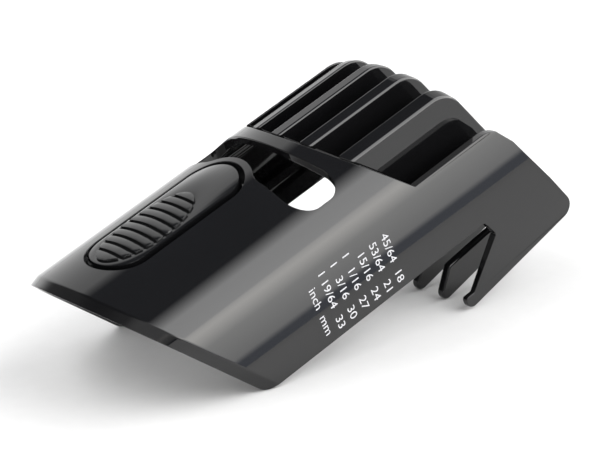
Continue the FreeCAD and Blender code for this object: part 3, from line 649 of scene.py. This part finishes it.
def print_text(name, text, x, start=None, end=None):
    """A word on the right flank that reads downwards, from a height or up to one."""
    curve = bpy.data.curves.new(name, "FONT")
    curve.body = text
    curve.size = LETTER_SIZE
    curve.align_y = "CENTER"
    lettering = add_object(name, curve)
    flat = evaluated_mesh(lettering)
    bpy.data.objects.remove(lettering)
    bpy.data.curves.remove(curve)
    places = [vertex.co.x * TEXT_STRETCH for vertex in flat.vertices]
    top = start + min(places) if end is None else end + max(places)
    for vertex, place in zip(flat.vertices, places):
        z = top - place
        y = WALL_TOP[0] + (WALL_TOP[1] - z) * math.tan(WALL_LEAN) + INK_HEIGHT
        vertex.co = Vector((x + vertex.co.y, -y, z))
    finish_piece(name, flat, scale_ink)


def make_scale():
    """Each row gives a hair length in millimetres and in inches; the units stand at the end."""
    for row, (metric, whole, inch) in enumerate(SCALE):
        x = FIRST_ROW - row * ROW_PITCH
        print_text("scale_mm_%s" % metric, metric, x, end=METRIC_END)
        print_text("scale_inch_%s" % metric, inch, x, end=INCH_END)
        if whole:
            print_text("scale_whole_%s" % metric, whole, x, start=WHOLE_START)
    x = FIRST_ROW - len(SCALE) * ROW_PITCH
    print_text("scale_unit_inch", "inch", x, start=UNIT_INCH_START)
    print_text("scale_unit_mm", "mm", x, start=UNIT_MM_START)


# ---------------------------------------------------------------- nodes that stay visible
NODE_ROUNDS = {"lock_button": 0.35, "thumb_pad": 0.15, "button_well": 0.2}
NODE_STEPS = 3
NODE_ANGLE = math.radians(30.0)
WELD_REACH = 0.00001


def soften_node(name, width):
    """Round the edges of a CAD node, once its doubled points are welded."""
    nodes[name].modifiers.new("weld", "WELD").merge_threshold = WELD_REACH
    round_edges(nodes[name], width * MM, NODE_STEPS, NODE_ANGLE)


# ---------------------------------------------------------------- floor and camera
FLOOR_HALF = 3.0
FLOOR_CLEAR = 0.00005

CAMERA_AZIMUTH = math.radians(39.46)
CAMERA_ELEVATION = math.radians(21.03)
CAMERA_ROLL = math.radians(-3.12)
CAMERA_DISTANCE = 0.5605
CAMERA_AIM = (0.0015, -0.0028, -0.0031)     # from the middle of the comb's box
CAMERA_LENS = 173.9
CAMERA_REACH = 20.0


def make_floor():
    mesh = bpy.data.meshes.new("table")
    half = FLOOR_HALF
    level = cad_low[2] - FLOOR_CLEAR
    corners = [(-half, -half, level), (half, -half, level), (half, half, level), (-half, half, level)]
    mesh.from_pydata(corners, [], [(0, 1, 2, 3)])
    mesh.materials.append(pale_floor())
    add_object("table", mesh)


def make_camera():
    """The camera looks at a point near the middle of the comb, turned a little about its axis."""
    middle = (Vector(cad_low) + Vector(cad_high)) / 2
    aim = middle + Vector(CAMERA_AIM)
    forward = Vector((
        math.sin(CAMERA_AZIMUTH) * math.cos(CAMERA_ELEVATION),
        math.cos(CAMERA_AZIMUTH) * math.cos(CAMERA_ELEVATION),
        -math.sin(CAMERA_ELEVATION),
    ))
    level_right = forward.cross(Vector((0, 0, 1))).normalized()
    level_up = level_right.cross(forward)
    right = level_right * math.cos(CAMERA_ROLL) + level_up * math.sin(CAMERA_ROLL)
    up = right.cross(forward)
    data = bpy.data.cameras.new("camera")
    data.lens = CAMERA_LENS
    data.sensor_width = 36.0
    data.clip_end = CAMERA_REACH
    camera = bpy.data.objects.new("camera", data)
    facing = Matrix((right, up, -forward)).transposed()
    camera.matrix_world = Matrix.Translation(aim - forward * CAMERA_DISTANCE) @ facing.to_4x4()
    scene.collection.objects.link(camera)
    scene.camera = camera


# ---------------------------------------------------------------- lights
# Colours of the room by height, from the horizon (0) to straight above (1).
CEILING = (0.11, 0.117, 0.135)
BACKDROP_WHITE = (1.3, 1.3, 1.3)
PANEL_FOOT = (0.8, 0.86, 1.0)
BACKDROP = [
    (0.0, BACKDROP_WHITE),
    (0.82, BACKDROP_WHITE),
    (0.90, CEILING),
]
PANEL = [
    (0.0, PANEL_FOOT),
    (0.04, PANEL_FOOT),
    (0.07, (3.0, 3.0, 3.0)),
    (0.22, (4.2, 4.2, 4.15)),
    (0.31, (7.8, 7.65, 7.4)),
    (0.38, (5.2, 5.2, 5.2)),
    (0.84, (4.8, 4.8, 4.8)),
    (0.93, CEILING),
]
PANEL_WAY = (0.42, -0.91, 0.0)
PANEL_EDGE = (0.16, 0.34)       # how squarely a direction faces the panel where the panel begins
REAR_EDGE = (-0.10, 0.15)       # where the room's dim rear ends, along X
REAR_SHARE = 0.15
ROOM_STRENGTH = 8.0
FILL = 3.6
FILL_PLACE = (-0.8, 0.45, 0.9)
FILL_TARGET = (-0.1, 0.05, 0.0)
FILL_SIDE = 1.4


def colour_by_height(world, split, stops):
    """Colours of one wall of the room, divided by the room's strength."""
    ramp = add_node(world, "ShaderNodeValToRGB")
    elements = ramp.color_ramp.elements
    while len(elements) < len(stops):
        elements.new(0.5)
    for element, (place, colour) in zip(elements, stops):
        element.position = place
        element.color = (*[channel / ROOM_STRENGTH for channel in colour], 1)
    wire(world, split, "Z", ramp, "Fac")
    return ramp


def soft_step(world, source, out, edge, low=0.0, high=1.0):
    """A value that rises smoothly from low to high while its source crosses an edge."""
    step = add_node(world, "ShaderNodeMapRange", interpolation_type="SMOOTHSTEP")
    step.inputs["From Min"].default_value = edge[0]
    step.inputs["From Max"].default_value = edge[1]
    step.inputs["To Min"].default_value = low
    step.inputs["To Max"].default_value = high
    wire(world, source, out, step, "Value")
    return step


def make_room():
    """A studio with a dark ceiling, a dim rear and a large soft panel to the comb's right."""
    world = bpy.data.worlds.new("studio")
    world.use_nodes = True
    scene.world = world
    way = add_node(world, "ShaderNodeTexCoord")
    split = add_node(world, "ShaderNodeSeparateXYZ")
    wire(world, way, "Generated", split, "Vector")
    rightward = add_node(world, "ShaderNodeVectorMath", operation="DOT_PRODUCT")
    rightward.inputs[1].default_value = PANEL_WAY
    wire(world, way, "Generated", rightward, 0)
    room = add_node(world, "ShaderNodeMix", data_type="RGBA")
    wire(world, soft_step(world, rightward, "Value", PANEL_EDGE), "Result", room, "Factor")
    wire(world, colour_by_height(world, split, BACKDROP), "Color", room, "A")
    wire(world, colour_by_height(world, split, PANEL), "Color", room, "B")
    strength = soft_step(world, split, "X", REAR_EDGE, ROOM_STRENGTH * REAR_SHARE, ROOM_STRENGTH)
    back = world.node_tree.nodes["Background"]
    wire(world, room, "Result", back, "Color")
    wire(world, strength, "Result", back, "Strength")


def make_fill():
    """A square soft light, high up behind the comb and to its left, that no reflection shows."""
    data = bpy.data.lights.new("fill", "AREA")
    data.shape = "RECTANGLE"
    data.size = FILL_SIDE
    data.size_y = FILL_SIDE
    data.energy = FILL * FILL_SIDE * FILL_SIDE * math.pi
    lamp = add_object("fill", data)
    direction = (Vector(FILL_TARGET) - Vector(FILL_PLACE)).normalized()
    lamp.rotation_mode = "QUATERNION"
    lamp.rotation_quaternion = direction.to_track_quat("-Z", "Y")
    lamp.location = FILL_PLACE
    lamp.visible_glossy = False


make_shell()
for number in range(2, 7):
    make_inner_plate(number)
make_scale()
for name, width in NODE_ROUNDS.items():
    soften_node(name, width)
make_floor()
make_camera()
make_room()
make_fill()
